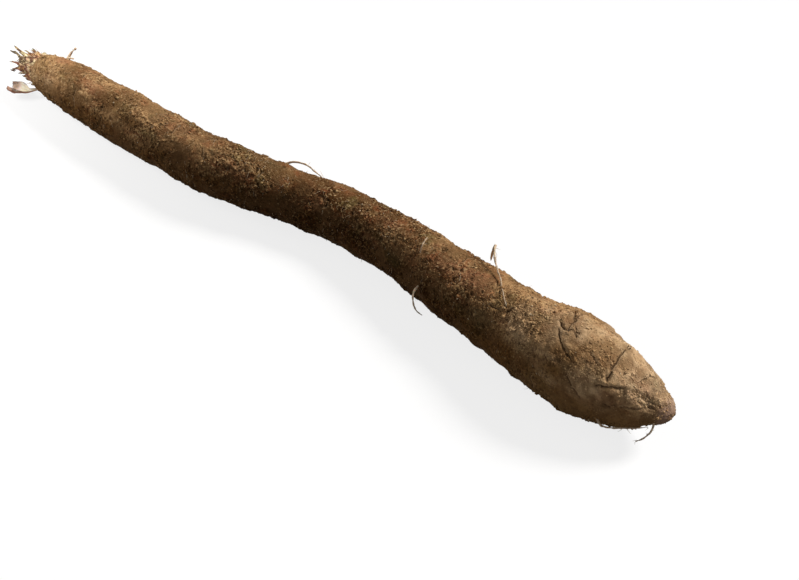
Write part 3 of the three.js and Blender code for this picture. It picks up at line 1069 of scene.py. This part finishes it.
def grow_crown_fibres(material):
    """Loose fibres of old leaves, between and round the leaf bases."""
    rng = random.Random(33)
    paths = []
    for _ in range(CROWN_FIBRES):
        radius, turn = 6.0 * MM * rng.random() ** 0.6, rng.uniform(0, 2 * pi)
        start = crown_middle + Vector((1.2 * MM, radius * cos(turn), radius * sin(turn)))
        splay = radius / (6 * MM) * 0.5
        heading = Vector((-1, splay * cos(turn), splay * sin(turn)))
        length = rng.uniform(2.5, 9.5 if radius < 3.5 * MM else 5) * MM
        thickness = rng.uniform(0.09, 0.22) * MM
        paths.append(wandering(rng, start, heading, length, 8, 0.13, thickness))
    mesh = strand_mesh(paths)
    points = values_of(mesh.vertices, "co", 3)
    reach = (crown_middle.x - points[:, 0]) / (9 * MM)
    wave = np.sin(points[:, 1] / MM * 2.7)
    masks = {"along": np.clip(reach, 0, 0.9), "dark": 0.2 + 0.2 * wave, "rust": 0.4 - 0.4 * wave}
    dress_mesh(mesh, "crown_fibres", material, masks)


def ragged_scale(rng, width, length, cup, rag):
    """The foot of a leaf, which points along X from the origin and is hollow towards Z."""
    scale = bmesh.new()
    bmesh.ops.create_grid(scale, x_segments=9, y_segments=7, size=1.0)
    for vert in scale.verts:
        share = (vert.co.x + 1) / 2
        narrow = 1 - 0.7 * share**2.2 + 0.2 * rng.uniform(-1, 1) * (share > 0.6)
        side = vert.co.y * narrow
        along = share + (rag * rng.uniform(-1, 1) if share > 0.8 else 0)
        lift = cup * side * side + 0.25 * sin(share * 2.6) + 0.06 * rng.uniform(-1, 1)
        vert.co = (along * length, side * width, lift * width)
    bmesh.ops.solidify(scale, geom=scale.faces[:], thickness=0.16 * MM)
    put_in_order(scale)
    return scale


def stand_scale(scale, foot, outward, lean):
    """Stands a scale on its foot, leaning outward, with its hollow side inward."""
    heading = (CROWNWARD + outward * lean).normalized()
    side = (-outward).cross(heading).normalized()
    home = Matrix((heading, side, heading.cross(side))).transposed().to_4x4()
    home.translation = foot
    bmesh.ops.transform(scale, matrix=home, verts=scale.verts)
    bmesh.ops.recalc_face_normals(scale, faces=scale.faces)


def join_scales(name, material, scales):
    """Joins scales into one piece. scales: (scale, how dark, how rusty)."""
    joined = bmesh.new()
    masks = {"along": [], "dark": [], "rust": []}
    for scale, dark, rust in scales:
        along = points_of(scale)[:, 0]
        masks["along"] += list(0.1 + 0.88 * ((along.max() - along) / (along.max() - along.min())))
        masks["dark"] += [dark] * len(along)
        masks["rust"] += [rust] * len(along)
        with_mesh(joined, mesh_of(scale, "scale"))
    dress_mesh(mesh_of(joined, name), name, material, masks)


def rim_scale(rng, index):
    """One of the scales round the rim of the crown."""
    outward = from_axis(index * SPIRAL)
    scale = ragged_scale(rng, rng.uniform(1.3, 2.4) * MM, rng.uniform(2.2, 4.6) * MM, 0.4, 0.18)
    lean = rng.uniform(0.05, 0.5)
    foot = crown_middle + outward * rng.uniform(4.2, 6.2) * MM + Vector((rng.uniform(0.6, 3.4) * MM, 0, 0))
    stand_scale(scale, foot, outward, lean)
    return scale, rng.uniform(0, 0.35), rng.uniform(0.1, 0.9)


def neck_scale(rng, index, bark_tree):
    """One of the scales on the bark behind the rim, or None where the root rests."""
    outward = from_axis(index * SPIRAL + 20)
    start = crown_middle + Vector((rng.uniform(1.6, 3.6) * MM, 0, 0))
    hit, normal, _, _ = bark_tree.ray_cast(start + outward * 20 * MM, -outward)
    if hit.z < 2.5 * MM:
        return None
    scale = ragged_scale(rng, rng.uniform(0.8, 1.5) * MM, rng.uniform(2.4, 3.8) * MM, 0.3, 0.2)
    foot = hit + Vector((1.0 * MM, 0, 0)) - normal * 0.25 * MM
    stand_scale(scale, foot, outward, rng.uniform(-0.1, 0.15))
    return scale, rng.uniform(0, 0.2), rng.uniform(0.3, 1.0)


def heart_scale(rng, index):
    """One of the broad scales in the heart of the crown. The inner ones are longer."""
    outward = from_axis(index * SPIRAL + 40)
    share = (index + 0.5) / HEART_SCALES
    length = (11.5 - 4.5 * share + rng.uniform(-1.8, 1.2)) * MM
    scale = ragged_scale(rng, rng.uniform(1.2, 2.2) * MM, length, 0.55, 0.08)
    lean = 0.04 + (0.2 - 0.14 * outward.z) * share + rng.uniform(-0.08, 0.08)
    foot = crown_middle + UP * 1.2 * MM + outward * (4.2 * MM * sqrt(share)) + Vector((1.5 * MM, 0, 0))
    stand_scale(scale, foot, outward, lean)
    low = max(0, -outward.z) * share
    return scale, min(0.9, 0.9 * low + 0.2 * rng.random() ** 3), rng.random() ** 1.4


def grow_crown(material, bark_tree):
    """The ragged feet of lost leaves, round the rim of the crown, behind it and in its heart."""
    rng = random.Random(5)
    rim = [rim_scale(rng, index) for index in range(RIM_SCALES)]
    neck = [neck_scale(rng, index, bark_tree) for index in range(NECK_SCALES)]
    join_scales("crown_scales", material, rim + [found for found in neck if found])
    rng = random.Random(11)
    join_scales("crown_heart", material, [heart_scale(rng, index) for index in range(HEART_SCALES)])


# ---- rootlets

SPROUT = "rootlet_sprout"  # it forks at its foot and ends in a round bud
FORK = Vector((0.8, 0.45, 0.15))  # which way its side shoot points
BUD = [(-2, 0.2), (-1, 0.4), (0, 0.52), (1, 0.5), (1.8, 0.36), (2.3, 0.1)]  # (steps past its end, mm)

ROOTLET_SHADES = {SPROUT: 1.0, "rootlet_arc": 0.8, "rootlet_hanging": 1.0}  # the others are 0.7
BRANCH_COUNTS = {SPROUT: 1, "rootlet_hanging": 1, "rootlet_short": 2}  # the others have 5


def near(place, centre, reach):
    """1 at a centre, falling to 0 past a reach in mm."""
    return exp(-(((place - centre).length / (reach * MM)) ** 2))


def sprout_shoots(rng, foot, base, far_end):
    """The sprout's side shoot and its bud, as strands."""
    side_shoot = wandering(rng, foot + UP * 0.5 * MM, FORK, 2.6 * MM, 6, 0.1, 0.5 * MM)
    onward = (far_end - base).normalized() * 0.3 * MM
    bud = [(far_end + onward * steps, radius * MM) for steps, radius in BUD]
    return [[(place, max(radius, 0.34 * MM)) for place, radius in side_shoot], bud]


def dress_rootlet(name, material, bark_tree):
    """A knobbly rootlet, browner where it joins the bark. Gives its branches as strands."""
    rng = random.Random(sum(map(ord, name)))
    bm = node_copy(name)
    points = points_of(bm)
    gaps = np.array([bark_tree.find_nearest(Vector(point))[3] for point in points])
    base = Vector(points[gaps.argmin()])
    far_end = Vector(points[np.linalg.norm(points - np.array(base), axis=1).argmax()])
    foot = bark_tree.find_nearest(base)[0]
    push = (foot - base) + (foot - base).normalized() * 0.8 * MM
    bm.normal_update()
    moved = []
    for vert in bm.verts:
        knob = bumps(vert.co / (1.4 * MM)) * 0.16 + bumps(vert.co / (0.5 * MM)) * 0.07
        if name == SPROUT:
            knob += 0.3 * near(vert.co, far_end, 0.5)
            knob += 0.45 * near(vert.co, base, 1.8)
        moved.append(vert.co + push * near(vert.co, base, 1.3) + vert.normal * knob * MM)
    for place in moved:
        place.z = max(place.z, 0.05 * MM)
    move_points(bm, moved)
    shades = ROOTLET_SHADES.get(name, 0.7) * (0.5 + 0.5 * smooth_step(gaps, 0.3 * MM, 2.4 * MM))
    dress_mesh(mesh_of(bm, name), name + "_skin", material, {"shade": shades}, [name])

    paths = sprout_shoots(rng, foot, base, far_end) if name == SPROUT else []
    for _ in range(BRANCH_COUNTS.get(name, 5)):
        start = Vector(points[rng.randrange(len(points))])
        heading = Vector([rng.gauss(0, 1) for _ in range(3)])
        heading.z = abs(heading.z) * 0.5
        paths.append(wandering(rng, start, heading, rng.uniform(1.2, 3.6) * MM, 6, 0.3, 0.09 * MM))
    return paths


def dress_rootlets(bark_tree):
    skin = rootlet_finish()
    paths = []
    for name in frame["nodes"]:
        if name.startswith("rootlet"):
            paths += dress_rootlet(name, skin, bark_tree)
    mesh = strand_mesh(paths, sides=8)
    dress_mesh(mesh, "rootlet_branches", skin, {"shade": [0.9] * len(mesh.vertices)})


# ---- the pieces

bark = Bark()
bark_tree = BVHTree.FromBMesh(bark.bm)
bark_mesh = mesh_of(bark.bm, "bark")
bark_piece = dress_mesh(bark_mesh, "taproot_bark", bark_finish(), bark.masks, ["taproot"])
strew_earth(bark_piece)
grow_root_hairs(bark_tree)
dry_leaf = dry_leaf_finish()
for stub, tints in LEAF_TINTS.items():
    dress_leaf_base("leaf_base_" + stub, dry_leaf, *tints)
dress_pale_leaf()
grow_crown_fibres(dry_leaf)
grow_crown(dry_leaf, bark_tree)
dress_rootlets(bark_tree)
